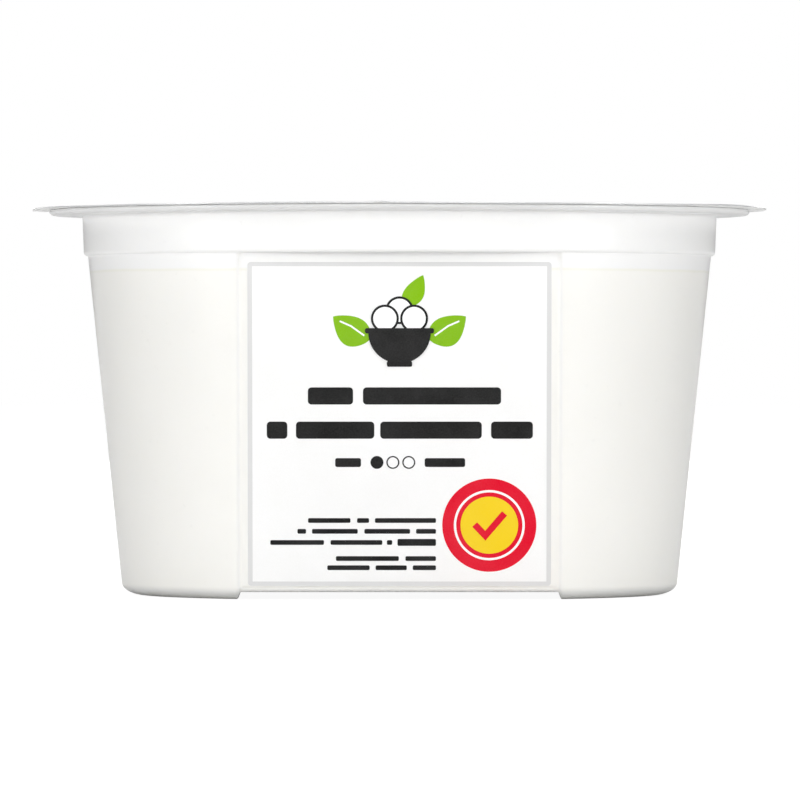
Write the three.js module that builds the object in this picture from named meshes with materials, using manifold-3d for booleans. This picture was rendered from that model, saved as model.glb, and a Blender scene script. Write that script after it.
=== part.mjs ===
// A sealed round cheese tub with a peel-off film lid and two flat recessed sides, each with a label.
// Millimetres, +Z up. The origin is the centre of the foot's underside, and the front label faces -Y.
import * as THREE from "three";
import { mergeVertices } from "three/addons/utils/BufferGeometryUtils.js";
import Module from "manifold-3d";

// Foot and base plate
const BASE_CLEARANCE = 1.14; // the foot holds the base plate this far off the table
const FOOT_INNER_RADIUS = 36;
const FOOT_OUTER_RADIUS = 39.5; // the flat ring that the tub stands on ends here
const FOOT_SLOPE = 0.5; // width of the foot's sloping inner wall
const BASE_STEP_RADIUS = 24; // a shallow round recess in the base plate
const BASE_STEP = 0.25;
const GATE_RADIUS = 1.5; // the moulding point in the middle of the recess
const GATE_HEIGHT = 0.3;

// Wall, collar and rim
const HEEL_RADIUS = 43; // the rounded heel meets the tapered wall here
const HEEL_HEIGHT = 1.9;
const WALL_TOP_RADIUS = 48.2;
const WALL_TOP_HEIGHT = 51.9;
const COLLAR_BOTTOM_RADIUS = 48.9;
const COLLAR_BOTTOM_HEIGHT = 52.6;
const COLLAR_TOP_RADIUS = 49.1;
const COLLAR_FILLET = 0.3; // inside corner between the collar and the rim
const RIM_RADIUS = 54.2;
const RIM_UNDERSIDE = 58.65;
const RIM_TOP = 59.4;
const RIM_ROUNDING = 0.3;

// Film lid, sealed flat on the rim, drawn down inside it and hanging over outside it
const FILM_RADIUS = 56.8;
const FILM_THICKNESS = 0.3;
const FILM_DIP = 0.8; // how far its middle is drawn down
const FILM_DROOP = 0.1; // how far its free edge hangs below the rim's top
const SEAL_INNER_RADIUS = 49.2;

// Flat recessed sides, and the gaps in the foot below them
const PANEL_WIDTH = 49;
const PANEL_TOP = 52.3; // directly under the collar
const PANEL_RECESS = 0.45; // depth below the wall at the panel's upright edges
const PANEL_SLOPE = 0.6; // width of the sloping step along those edges
const NOTCH_TOP_WIDTH = 48;
const NOTCH_BOTTOM_WIDTH = 49.2;
const NOTCH_START = 18; // distance from the tub's axis

// Labels
const LABEL_WIDTH = 46;
const LABEL_BOTTOM = 2.2; // height of the lower edge above the table
const LABEL_TOP = 51.1;
const LABEL_CORNER_RADIUS = 0.8;
const LABEL_THICKNESS = 0.25;
const LABEL_GAP = 0.3; // clearance between the label's back and the panel

// Fineness of the curved surfaces
const SEGMENTS = 80;
const HEEL_STEPS = 5;
const SHOULDER_STEPS = 4;
const CORNER_STEPS = 2;
const DIP_STEPS = 6;
const DROOP_STEPS = 3;

const OUTSIDE = 90; // reaches past the tub in every direction
const QUARTER_TURN = Math.PI / 2;

const tubPlastic = new THREE.MeshStandardMaterial({ color: 0xf3f2ee, roughness: 0.35, metalness: 0 });
const lidFilm = new THREE.MeshStandardMaterial({ color: 0xe9eaea, roughness: 0.28, metalness: 0 });
const labelFilm = new THREE.MeshStandardMaterial({ color: 0xfcfcfb, roughness: 0.5, metalness: 0 });

const wasm = await Module();
wasm.setup();

// Radius of the tapered wall at a height, with its taper carried on past both ends.
function wallRadius(height) {
  const share = (height - HEEL_HEIGHT) / (WALL_TOP_HEIGHT - HEEL_HEIGHT);
  return THREE.MathUtils.lerp(HEEL_RADIUS, WALL_TOP_RADIUS, share);
}

// Distance from the tub's axis to the bottom of the recess, worked out at the panel's upright edges.
function recessDepth(height) {
  return Math.sqrt(wallRadius(height) ** 2 - (PANEL_WIDTH / 2) ** 2) - PANEL_RECESS;
}

// The panel is a true plane through its foot and its head, so it leans outwards.
const panelFoot = recessDepth(BASE_CLEARANCE);
const panelLean = (recessDepth(PANEL_TOP) - panelFoot) / (PANEL_TOP - BASE_CLEARANCE);
const panelTilt = Math.atan(panelLean);

function panelDepth(height) {
  return panelFoot + panelLean * (height - BASE_CLEARANCE);
}

// Geometry as a closed solid that can be joined and cut.
function toSolid(geometry) {
  const bare = geometry.clone();
  bare.deleteAttribute("normal");
  bare.deleteAttribute("uv");
  const merged = mergeVertices(bare);
  const mesh = new wasm.Mesh({
    numProp: 3,
    vertProperties: merged.attributes.position.array,
    triVerts: new Uint32Array(merged.index.array),
  });
  return new wasm.Manifold(mesh);
}

function toGeometry(solid) {
  const mesh = solid.getMesh();
  const geometry = new THREE.BufferGeometry();
  geometry.setAttribute("position", new THREE.BufferAttribute(mesh.vertProperties, mesh.numProp));
  geometry.setIndex(new THREE.BufferAttribute(mesh.triVerts, 1));
  geometry.computeVertexNormals();
  return geometry;
}

// A profile point: distance from the axis, then height.
function at(radius, height) {
  return new THREE.Vector2(radius, height);
}

// A quarter of an ellipse in the profile. The angles are in degrees.
function quarter(centre, acrossRadius, upRadius, from, to, steps) {
  const start = THREE.MathUtils.degToRad(from);
  const end = THREE.MathUtils.degToRad(to);
  const curve = new THREE.EllipseCurve(centre.x, centre.y, acrossRadius, upRadius, start, end, to < from);
  return curve.getPoints(steps);
}

// A profile turned once round the Z axis. It starts on the axis below and ends on the axis above.
function turned(profile) {
  return new THREE.LatheGeometry(profile, SEGMENTS).rotateX(QUARTER_TURN);
}

// The dipped surface inside the seal, from the axis outwards, raised by the lift.
function dipPoints(lift) {
  const points = [];
  for (let i = 0; i <= DIP_STEPS; i += 1) {
    const share = i / DIP_STEPS;
    const drop = FILM_DIP * (1 - share ** 2);
    points.push(at(SEAL_INNER_RADIUS * share, RIM_TOP - drop + lift));
  }
  return points;
}

// The film's free edge, from where it leaves the rim outwards, raised by the lift.
function droopPoints(lift) {
  const start = RIM_RADIUS - RIM_ROUNDING;
  const points = [];
  for (let i = 0; i <= DROOP_STEPS; i += 1) {
    const share = i / DROOP_STEPS;
    const drop = FILM_DROOP * share ** 2;
    points.push(at(THREE.MathUtils.lerp(start, FILM_RADIUS, share), RIM_TOP - drop + lift));
  }
  return points;
}

function basePoints() {
  const recessed = BASE_CLEARANCE + BASE_STEP;
  return [
    at(0, recessed - GATE_HEIGHT),
    at(GATE_RADIUS, recessed - GATE_HEIGHT),
    at(GATE_RADIUS, recessed),
    at(BASE_STEP_RADIUS, recessed),
    at(BASE_STEP_RADIUS + BASE_STEP, BASE_CLEARANCE),
    at(FOOT_INNER_RADIUS - FOOT_SLOPE, BASE_CLEARANCE),
    at(FOOT_INNER_RADIUS, 0),
  ];
}

function heelPoints() {
  const centre = at(FOOT_OUTER_RADIUS, HEEL_HEIGHT);
  return quarter(centre, HEEL_RADIUS - FOOT_OUTER_RADIUS, HEEL_HEIGHT, -90, 0, HEEL_STEPS);
}

// The step from the tapered wall out to the collar.
function shoulderPoints() {
  const middle = (WALL_TOP_HEIGHT + COLLAR_BOTTOM_HEIGHT) / 2;
  const curve = new THREE.CubicBezierCurve(
    at(WALL_TOP_RADIUS, WALL_TOP_HEIGHT),
    at(WALL_TOP_RADIUS, middle),
    at(COLLAR_BOTTOM_RADIUS, middle),
    at(COLLAR_BOTTOM_RADIUS, COLLAR_BOTTOM_HEIGHT),
  );
  return curve.getPoints(SHOULDER_STEPS);
}

function rimPoints() {
  const inside = at(COLLAR_TOP_RADIUS + COLLAR_FILLET, RIM_UNDERSIDE - COLLAR_FILLET);
  const lower = at(RIM_RADIUS - RIM_ROUNDING, RIM_UNDERSIDE + RIM_ROUNDING);
  const upper = at(RIM_RADIUS - RIM_ROUNDING, RIM_TOP - RIM_ROUNDING);
  return [
    ...quarter(inside, COLLAR_FILLET, COLLAR_FILLET, 180, 90, CORNER_STEPS),
    ...quarter(lower, RIM_ROUNDING, RIM_ROUNDING, -90, 0, CORNER_STEPS),
    ...quarter(upper, RIM_ROUNDING, RIM_ROUNDING, 0, 90, CORNER_STEPS),
  ];
}

function tubBlank() {
  const profile = [
    ...basePoints(),
    ...heelPoints(),
    ...shoulderPoints(),
    ...rimPoints(),
    ...dipPoints(0).reverse(),
  ];
  return toSolid(turned(profile));
}

// Everything in front of the panel's plane, up to the collar, with sloping steps at both sides.
// The slopes run on past the wall's surface, so that they cross it cleanly.
function panelCutter() {
  const inner = PANEL_WIDTH / 2 - PANEL_SLOPE;
  const outer = PANEL_WIDTH / 2 + PANEL_SLOPE;
  const section = new THREE.Shape([
    at(inner, 0),
    at(-inner, 0),
    at(-outer, -2 * PANEL_RECESS),
    at(-outer, -OUTSIDE),
    at(outer, -OUTSIDE),
    at(outer, -2 * PANEL_RECESS),
  ]);
  const prism = new THREE.ExtrudeGeometry(section, { depth: 2 * OUTSIDE, bevelEnabled: false });
  prism.translate(0, 0, -OUTSIDE);
  prism.rotateX(panelTilt);
  prism.translate(0, -panelDepth(0), 0);
  const underCollar = new THREE.BoxGeometry(2 * OUTSIDE, 4 * OUTSIDE, 2 * OUTSIDE);
  underCollar.translate(0, 0, PANEL_TOP - OUTSIDE);
  return toSolid(prism).intersect(toSolid(underCollar));
}

// The gap in the foot below the panel, a little wider at the table.
function notchCutter() {
  const top = NOTCH_TOP_WIDTH / 2;
  const bottom = NOTCH_BOTTOM_WIDTH / 2;
  const section = new THREE.Shape([
    at(-top, BASE_CLEARANCE),
    at(-bottom, 0),
    at(-bottom, -OUTSIDE),
    at(bottom, -OUTSIDE),
    at(bottom, 0),
    at(top, BASE_CLEARANCE),
  ]);
  const prism = new THREE.ExtrudeGeometry(section, { depth: OUTSIDE, bevelEnabled: false });
  prism.rotateX(QUARTER_TURN);
  prism.translate(0, -NOTCH_START, 0);
  return toSolid(prism);
}

function tubGeometry() {
  const front = panelCutter().add(notchCutter());
  const back = front.rotate([0, 0, 180]);
  return toGeometry(tubBlank().subtract(front).subtract(back));
}

function filmGeometry() {
  const underside = [...dipPoints(0), ...droopPoints(0)];
  const topside = [...dipPoints(FILM_THICKNESS), ...droopPoints(FILM_THICKNESS)];
  return turned([...underside, ...topside.reverse()]);
}

// A thin plate with rounded corners, centred, x across and y up.
function labelGeometry() {
  const halfWidth = LABEL_WIDTH / 2;
  const halfHeight = (LABEL_TOP - LABEL_BOTTOM) / 2 / Math.cos(panelTilt);
  const outline = new THREE.Shape();
  const corners = [
    [1, -1, -90],
    [1, 1, 0],
    [-1, 1, 90],
    [-1, -1, 180],
  ];
  for (const [right, up, from] of corners) {
    const x = right * (halfWidth - LABEL_CORNER_RADIUS);
    const y = up * (halfHeight - LABEL_CORNER_RADIUS);
    const start = THREE.MathUtils.degToRad(from);
    outline.absarc(x, y, LABEL_CORNER_RADIUS, start, start + QUARTER_TURN, false);
  }
  return new THREE.ExtrudeGeometry(outline, { depth: LABEL_THICKNESS, bevelEnabled: false, curveSegments: 6 });
}

function named(name, geometry, material) {
  const mesh = new THREE.Mesh(geometry, material);
  mesh.name = name;
  return mesh;
}

// A label on the front panel. Its back is clear of the panel by the gap.
function label(name) {
  const middle = (LABEL_TOP + LABEL_BOTTOM) / 2;
  const mesh = named(name, labelGeometry(), labelFilm);
  mesh.rotation.x = QUARTER_TURN + panelTilt;
  mesh.position.set(0, -panelDepth(middle) - LABEL_GAP / Math.cos(panelTilt), middle);
  return mesh;
}

const backSide = new THREE.Group();
backSide.rotation.z = Math.PI;
backSide.add(label("back_label"));

const sealedTub = new THREE.Group();
sealedTub.add(named("tub", tubGeometry(), tubPlastic));
sealedTub.add(named("lid_film", filmGeometry(), lidFilm));
sealedTub.add(label("front_label"));
sealedTub.add(backSide);

export default sealedTub;
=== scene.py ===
"""A sealed round cheese tub with a film lid and two flat sides with labels, finished for rendering.

The pieces' sizes are in millimetres and become metres as each piece is made. The shared effects of the
finishes and the studio are in metres. The tub stands on the origin, +Z is up and the front label faces -Y.
"""
import logging
import math
from dataclasses import dataclass
from enum import Enum

import bmesh
import bpy
from mathutils import Matrix, Vector, noise


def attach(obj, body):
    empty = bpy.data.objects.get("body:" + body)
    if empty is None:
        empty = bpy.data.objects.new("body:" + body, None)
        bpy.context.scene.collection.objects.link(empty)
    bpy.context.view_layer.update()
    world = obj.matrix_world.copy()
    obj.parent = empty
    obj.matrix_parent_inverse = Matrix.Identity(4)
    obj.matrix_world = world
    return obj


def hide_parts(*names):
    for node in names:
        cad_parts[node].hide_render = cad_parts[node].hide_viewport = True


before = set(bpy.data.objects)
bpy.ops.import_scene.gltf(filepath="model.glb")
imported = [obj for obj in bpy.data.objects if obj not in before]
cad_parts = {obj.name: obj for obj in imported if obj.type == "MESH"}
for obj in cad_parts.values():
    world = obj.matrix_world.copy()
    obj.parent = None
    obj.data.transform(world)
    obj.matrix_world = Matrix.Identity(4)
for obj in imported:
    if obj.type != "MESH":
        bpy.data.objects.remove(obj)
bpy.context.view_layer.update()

MM = 0.001
ROOT = "root"
SMOOTH_ANGLE = math.radians(32)
MERGE_DISTANCE = 0.001
NOISE_RANGE = (0.3, 0.7)
SOFT = "SMOOTHSTEP"
WHITE_LIGHT = (1, 1, 1, 1)
log = logging.getLogger("tub")

Rgb = tuple[int, int, int]
Socket = bpy.types.NodeSocket
Verts = list[bmesh.types.BMVert]


def linear(red: int, green: int, blue: int) -> tuple[float, float, float, float]:
    """Turns a screen colour into the light values that shaders use.

    Args:
        red: Red from 0 to 255.
        green: Green from 0 to 255.
        blue: Blue from 0 to 255.

    Returns:
        The colour as red, green, blue and a full alpha.
    """
    def channel(value: int) -> float:
        """Straightens one channel's curve."""
        share = value / 255
        return share / 12.92 if share <= 0.04045 else ((share + 0.055) / 1.055) ** 2.4

    return channel(red), channel(green), channel(blue), 1.0


def blend(start: float, end: float, share: float) -> float:
    """Gives the value at a share of the way from start to end."""
    return start + (end - start) * share


def ease(share: float) -> float:
    """Turns an even share into one that starts and ends gently."""
    held = min(max(share, 0.0), 1.0)
    return held * held * (3 - 2 * held)


def around(radius: float, bearing: float, height: float) -> Vector:
    """Gives the point at a radius, a bearing from the middle of the flat side, and a height."""
    return Vector((radius * math.sin(bearing), radius * math.cos(bearing), height))


class Side(Enum):
    """The two flat sides of the tub, with the turn about the upright axis that faces each."""

    FRONT = 0.0
    BACK = math.pi


class Outline(Enum):
    """How a ring of the tub's skin runs round."""

    BASE = "round, below the flat sides"
    FLATTENED = "round, with two flat sides"
    COLLAR = "round, above the flat sides"


class Ink(Enum):
    """The printed colours of the label, each with its screen colour."""

    KEYLINE = (222, 222, 222)
    GREEN = (132, 187, 10)
    BLACK = (25, 25, 25)
    WHITE = (253, 253, 253)
    RED = (227, 3, 43)
    YELLOW = (247, 211, 30)


class Wiring:
    """A node tree that is being wired."""

    def __init__(self, tree: bpy.types.NodeTree) -> None:
        """Starts with the tree's nodes cleared.

        Args:
            tree: The tree of a material, a world or a group.
        """
        self.tree = tree
        tree.nodes.clear()

    def add(self, kind: str, **settings: object) -> bpy.types.Node:
        """Adds a node.

        Args:
            kind: Blender's name of the node type, without its ShaderNode prefix.
            **settings: The node's properties.

        Returns:
            The new node.
        """
        prefix = "" if kind.startswith("Node") else "ShaderNode"
        node = self.tree.nodes.new(prefix + kind)
        for name, value in settings.items():
            setattr(node, name, value)
        return node

    def feed(self, node: bpy.types.Node, *places: object, **values: object) -> bpy.types.Node:
        """Sets or links a node's inputs.

        Args:
            node: The node to feed.
            *places: A socket or a plain value for each of its first inputs.
            **values: The same for inputs by name, with underscores for spaces.

        Returns:
            The same node.
        """
        given = list(zip(node.inputs, places))
        given += [(node.inputs[name.replace("_", " ")], value) for name, value in values.items()]
        for socket, value in given:
            if isinstance(value, Socket):
                self.tree.links.new(value, socket)
            else:
                socket.default_value = value
        return node

    def math(self, operation: str, *values: object) -> Socket:
        """Adds a sum of Blender's Math node, whose inputs are sockets or numbers."""
        return self.feed(self.add("Math", operation=operation), *values).outputs[0]

    def times(self, first: object, second: object) -> Socket:
        """Multiplies two values."""
        return self.math("MULTIPLY", first, second)

    def plus(self, first: object, second: object) -> Socket:
        """Adds two values."""
        return self.math("ADD", first, second)

    def vector(self, operation: str, *values: object) -> bpy.types.NodeOutputs:
        """Adds a sum of Blender's Vector Math node, and gives its outputs."""
        return self.feed(self.add("VectorMath", operation=operation), *values).outputs

    def axes(self, vector: Socket) -> bpy.types.NodeOutputs:
        """Splits a vector into X, Y and Z."""
        return self.feed(self.add("SeparateXYZ"), vector).outputs

    def spread(self, value: object, low: object, high: object, start: object, end: object,
               curve: str = "LINEAR") -> Socket:
        """Stretches a range of values onto another.

        Args:
            value: The socket to stretch.
            low: The value that becomes start.
            high: The value that becomes end.
            start: Result at the low value.
            end: Result at the high value.
            curve: Blender's name of the way between them.

        Returns:
            The result's socket.
        """
        node = self.add("MapRange", interpolation_type=curve)
        return self.feed(node, value, low, high, start, end).outputs[0]

    def tint(self, share: object, first: object, second: object) -> Socket:
        """Mixes two colours.

        Args:
            share: Share of the second colour.
            first: Colour where the share is 0.
            second: Colour where the share is 1.

        Returns:
            The mixed colour's socket.
        """
        node = self.add("Mix", data_type="RGBA", blend_type="MIX")
        for place, value in ((0, share), (6, first), (7, second)):
            if isinstance(value, Socket):
                self.tree.links.new(value, node.inputs[place])
            else:
                node.inputs[place].default_value = value
        return node.outputs[2]

    def cloud(self, point: object, scale: object, detail: float = 2.0, rough: float = 0.5) -> Socket:
        """Adds smooth random noise.

        Args:
            point: Where to read it.
            scale: Its fineness, in waves per metre.
            detail: How many finer layers it has.
            rough: How strong the finer layers are.

        Returns:
            The noise's value socket.
        """
        node = self.add("TexNoise")
        return self.feed(node, Vector=point, Scale=scale, Detail=detail, Roughness=rough).outputs[0]


class GroupWiring(Wiring):
    """The node tree of a shared effect, with its inputs and the object's own coordinates at hand."""

    def __init__(self, tree: bpy.types.NodeTree) -> None:
        """Starts with the group's inputs and the coordinates.

        Args:
            tree: The group's tree, which has its ports.
        """
        super().__init__(tree)
        self.inputs = self.add("NodeGroupInput").outputs
        self.point = self.add("TexCoord").outputs["Object"]

    def height(self) -> Socket:
        """Gives the height above the table."""
        return self.axes(self.point)["Z"]

    def level(self) -> Socket:
        """Gives the point with its height taken out."""
        return self.vector("MULTIPLY", self.point, (1, 1, 0))[0]

    def radius(self) -> Socket:
        """Gives the distance from the upright axis."""
        return self.vector("LENGTH", self.level())["Value"]


class Effect:
    """A shared effect of the finishes: one node group, built when it is first asked for.

    takes names its inputs with their usual values, and gives names its outputs. Both are plain values.
    """

    name = ""
    takes: dict[str, float] = {}
    gives: tuple[str, ...] = ()

    def tree(self) -> bpy.types.NodeTree:
        """Finds the group, or builds it.

        Returns:
            The group's node tree.
        """
        found = bpy.data.node_groups.get(self.name)
        if found:
            return found
        tree = bpy.data.node_groups.new(self.name, "ShaderNodeTree")
        for name, value in self.takes.items():
            port = tree.interface.new_socket(name, in_out="INPUT", socket_type="NodeSocketFloat")
            port.default_value = value
        for name in self.gives:
            tree.interface.new_socket(name, in_out="OUTPUT", socket_type="NodeSocketFloat")
        group = GroupWiring(tree)
        results = self.wire(group)
        group.feed(group.add("NodeGroupOutput"), *results)
        return tree

    def wire(self, group: GroupWiring) -> list[Socket]:
        """Wires the effect.

        Args:
            group: The group's wiring.

        Returns:
            A socket for each of the effect's outputs, in order.
        """
        raise NotImplementedError

    def place(self, wiring: Wiring, **values: object) -> bpy.types.NodeOutputs:
        """Puts the effect into a material.

        Args:
            wiring: The material's wiring.
            **values: Values of the effect's inputs, with underscores for spaces.

        Returns:
            The effect's outputs.
        """
        node = wiring.add("Group", node_tree=self.tree())
        return wiring.feed(node, **values).outputs


class MouldedSkin(Effect):
    """The fine grain and the slow waves of a moulded plastic skin."""

    name = "moulded_skin"
    takes = {"Grain": 2600.0, "Waves": 85.0, "Dull": 0.4, "Bright": 0.3}
    gives = ("Height", "Roughness", "Cloud")
    grain_share = 0.12

    def wire(self, group: GroupWiring) -> list[Socket]:
        """Mixes grain and waves into a height, and lets the gloss drift with the waves.

        Args:
            group: The group's wiring.

        Returns:
            The height, the roughness and the slow cloud.
        """
        grain = group.cloud(group.point, group.inputs["Grain"], detail=1.0)
        waves = group.cloud(group.point, group.inputs["Waves"], detail=3.0)
        height = group.plus(group.times(grain, self.grain_share), group.times(waves, 1 - self.grain_share))
        roughness = group.spread(waves, *NOISE_RANGE, group.inputs["Dull"], group.inputs["Bright"])
        return [height, roughness, waves]


class FillLevel(Effect):
    """What shows through the milky wall: the level of the brine, and the thin line that it leaves."""

    name = "fill_level"
    takes = {"Level": 0.0501, "Softness": 0.0005, "Line": 0.00035}
    gives = ("Below", "At Level")
    ripple_scale = 60.0
    ripple_height = 0.0005

    def wire(self, group: GroupWiring) -> list[Socket]:
        """Compares the height with the level.

        Args:
            group: The group's wiring.

        Returns:
            A mask that is 1 below the level, and a mask of the line at the level.
        """
        ripple = group.times(group.cloud(group.point, self.ripple_scale, detail=1.0), self.ripple_height)
        over = group.math("SUBTRACT", group.plus(group.height(), ripple), group.inputs["Level"])
        share = group.math("DIVIDE", over, group.inputs["Softness"])
        distance = group.math("DIVIDE", group.math("ABSOLUTE", over), group.inputs["Line"])
        return [
            group.spread(share, -1.0, 1.0, 1.0, 0.0, SOFT),
            group.spread(distance, 0.0, 1.0, 1.0, 0.0, SOFT),
        ]


class FlangeShade(Effect):
    """Where the rim stands free with nothing behind it, outside a radius: painted shade that makes it greyer.
    """

    name = "painted_flange_shade"
    takes = {"Starts": 0.0494, "Full": 0.0512}
    gives = ("Thin",)

    def wire(self, group: GroupWiring) -> list[Socket]:
        """Masks the rim's painted shade by its distance from the axis."""
        return [group.spread(group.radius(), group.inputs["Starts"], group.inputs["Full"], 0.0, 1.0, SOFT)]


class FootShade(Effect):
    """Painted shade on the foot: a band low on the heel, where it turns down to the table, is coloured darker
    than the wall above it.
    """

    name = "painted_foot_shade"
    takes = {"Starts": 0.0006, "Full": 0.001, "Ends": 0.002}
    gives = ("Foot Shade",)

    def wire(self, group: GroupWiring) -> list[Socket]:
        """Masks by the height.

        Args:
            group: The group's wiring.

        Returns:
            A mask that is 1 on the foot's band of painted shade.
        """
        height = group.height()
        over = group.spread(height, 0.0, group.inputs["Starts"], 0.0, 1.0)
        under = group.spread(height, group.inputs["Full"], group.inputs["Ends"], 1.0, 0.0, SOFT)
        return [group.times(over, under)]


class CreaseShade(Effect):
    """Where the wall bends into a flat side: a soft upright line of painted shade at each end of it."""

    name = "painted_crease_shade"
    takes = {"Across": 0.0243, "Half Width": 0.00045, "Bottom": 0.0012, "Top": 0.0523}
    gives = ("Crease Shade",)

    def wire(self, group: GroupWiring) -> list[Socket]:
        """Masks by the distance from the two lines, between a lowest and a highest height.

        Args:
            group: The group's wiring.

        Returns:
            A mask that is 1 on the lines.
        """
        axes = group.axes(group.point)
        off = group.math("SUBTRACT", group.math("ABSOLUTE", axes["X"]), group.inputs["Across"])
        away = group.math("DIVIDE", group.math("ABSOLUTE", off), group.inputs["Half Width"])
        line = group.spread(away, 0.0, 1.0, 1.0, 0.0, SOFT)
        over = group.math("GREATER_THAN", axes["Z"], group.inputs["Bottom"])
        under = group.math("LESS_THAN", axes["Z"], group.inputs["Top"])
        return [group.times(line, group.times(over, under))]


class Handling(Effect):
    """Fine rubs and specks from packing and handling."""

    name = "handling"
    takes = {"Rubs": 350.0, "Specks": 900.0}
    gives = ("Rubbed", "Specked")
    drawn_out = (0.25, 0.25, 2.4)
    rub_range = (0.58, 0.72)
    speck_range = (0.69, 0.76)

    def wire(self, group: GroupWiring) -> list[Socket]:
        """Draws out noise into short level rubs and keeps the peaks of a finer one as specks.

        Args:
            group: The group's wiring.

        Returns:
            A mask of the rubs and a mask of the specks.
        """
        mapping = group.feed(group.add("Mapping"), Vector=group.point, Scale=self.drawn_out)
        rubs = group.cloud(mapping.outputs[0], group.inputs["Rubs"], detail=4.0, rough=0.7)
        specks = group.cloud(group.point, group.inputs["Specks"])
        return [
            group.spread(rubs, *self.rub_range, 0.0, 1.0),
            group.spread(specks, *self.speck_range, 0.0, 1.0),
        ]


class InkLay(Effect):
    """How evenly ink lies on the label film: slow drift of its density and a fine press grain."""

    name = "ink_lay"
    takes = {"Drift": 160.0, "Grain": 5200.0}
    gives = ("Thin", "Roughness", "Height")
    drift_share = 0.6
    thin_range = (0.35, 0.65)
    roughness = (0.6, 0.45)

    def wire(self, group: GroupWiring) -> list[Socket]:
        """Mixes the slow drift and the fine grain.

        Args:
            group: The group's wiring.

        Returns:
            Where the ink is thin, its roughness and its height.
        """
        drift = group.cloud(group.point, group.inputs["Drift"])
        grain = group.cloud(group.point, group.inputs["Grain"], detail=1.0)
        mixed = group.plus(group.times(drift, self.drift_share), group.times(grain, 1 - self.drift_share))
        thin = group.spread(mixed, *self.thin_range, 0.0, 1.0)
        return [thin, group.spread(mixed, *NOISE_RANGE, *self.roughness), grain]


class TautFilm(Effect):
    """The tension of a sealed film: faint folds that run outwards, the fine press of the seal, and painted
    shade on the cut edge.
    """

    name = "taut_film"
    takes = {"Seal Inside": 0.0496, "Seal Outside": 0.0537, "Cut": 0.05676}
    gives = ("Height", "Roughness", "Sealed", "Edge")
    fold_scale = 9.0
    folds_grow = (0.012, 0.052)
    haze_scale = 70.0
    roughness = (0.38, 0.3)
    seal_dulls = 0.08
    seal_grain = 1500.0
    seal_depth = 0.25
    edge_fades = (0.2, 0.36)

    def wire(self, group: GroupWiring) -> list[Socket]:
        """Reads noise along the turn about the axis, and masks the seal and the cut edge by their radius.

        Args:
            group: The group's wiring.

        Returns:
            The height, the roughness, a mask of the seal and one of the cut edge's painted shade, which is
            strongest at the front and back and fades to the sides.
        """
        radius = group.radius()
        facing = group.vector("NORMALIZE", group.level())[0]
        strength = group.spread(radius, *self.folds_grow, 0.0, 1.0)
        folds = group.times(group.cloud(facing, self.fold_scale, detail=3.0), strength)
        inside = group.math("GREATER_THAN", radius, group.inputs["Seal Inside"])
        outside = group.math("LESS_THAN", radius, group.inputs["Seal Outside"])
        sealed = group.times(inside, outside)
        grain = group.cloud(group.point, self.seal_grain, detail=1.0)
        height = group.plus(folds, group.times(grain, group.times(sealed, self.seal_depth)))
        haze = group.cloud(group.point, self.haze_scale, detail=3.0)
        roughness = group.spread(haze, *NOISE_RANGE, *self.roughness)
        dulled = group.plus(roughness, group.times(sealed, self.seal_dulls))
        ahead = group.math("ABSOLUTE", group.axes(facing)["Y"])
        shown = group.spread(ahead, *self.edge_fades, 0.0, 1.0)
        edge = group.times(group.math("GREATER_THAN", radius, group.inputs["Cut"]), shown)
        return [height, dulled, sealed, edge]


@dataclass(frozen=True)
class Finish:
    """A finish of the tub, with what all of them share."""

    name: str
    bump: float
    bump_depth: float

    def material(self) -> bpy.types.Material:
        """Finds the material, or makes it.

        Returns:
            The finished material.
        """
        found = bpy.data.materials.get(self.name)
        if found:
            return found
        made = bpy.data.materials.new(self.name)
        made.use_nodes = True
        wiring = Wiring(made.node_tree)
        surface = wiring.add("BsdfPrincipled")
        wiring.feed(wiring.add("OutputMaterial"), Surface=surface.outputs[0])
        self.dress(wiring, surface)
        return made

    def relief(self, wiring: Wiring, surface: bpy.types.Node, height: Socket) -> None:
        """Puts a fine relief on the surface.

        Args:
            wiring: The material's wiring.
            surface: Its shader.
            height: The relief's height, from 0 to 1.
        """
        bump = wiring.feed(wiring.add("Bump"), Strength=self.bump, Distance=self.bump_depth, Height=height)
        wiring.feed(surface, Normal=bump.outputs[0])

    def dress(self, wiring: Wiring, surface: bpy.types.Node) -> None:
        """Wires the finish's colour, gloss and relief.

        Args:
            wiring: The material's wiring.
            surface: Its shader.
        """
        raise NotImplementedError


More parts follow.
